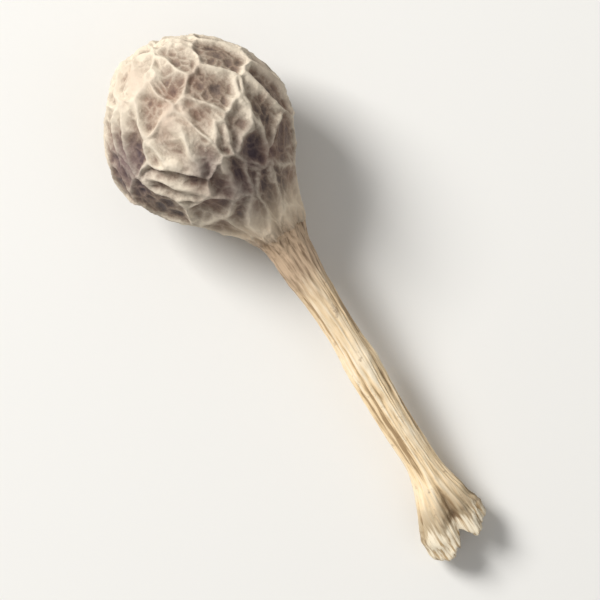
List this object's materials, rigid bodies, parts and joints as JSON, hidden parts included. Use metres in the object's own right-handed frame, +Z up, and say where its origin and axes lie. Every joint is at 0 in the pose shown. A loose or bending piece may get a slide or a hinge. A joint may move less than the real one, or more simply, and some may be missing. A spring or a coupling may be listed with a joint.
{
  "type": "voatsiperifery pepper",
  "caption": "Dried tailed peppercorn: a netted, wrinkled berry drawn out into a neck, on its slim straw-coloured stalk with a flared foot.",
  "frame": {"origin": "middle of the peppercorn's outline seen from above, on the surface it lies on", "axes": "+X from the berry to the stalk's foot, +Y to the left of that, +Z up"},
  "size_m": [0.0115, 0.0038, 0.0034],
  "materials": {
    "dried_skin": "matte",
    "dry_stalk": "matte"
  },
  "bodies": {
    "root": {"berry": "dried_skin", "stalk": "dry_stalk"}
  },
  "joints": []
}
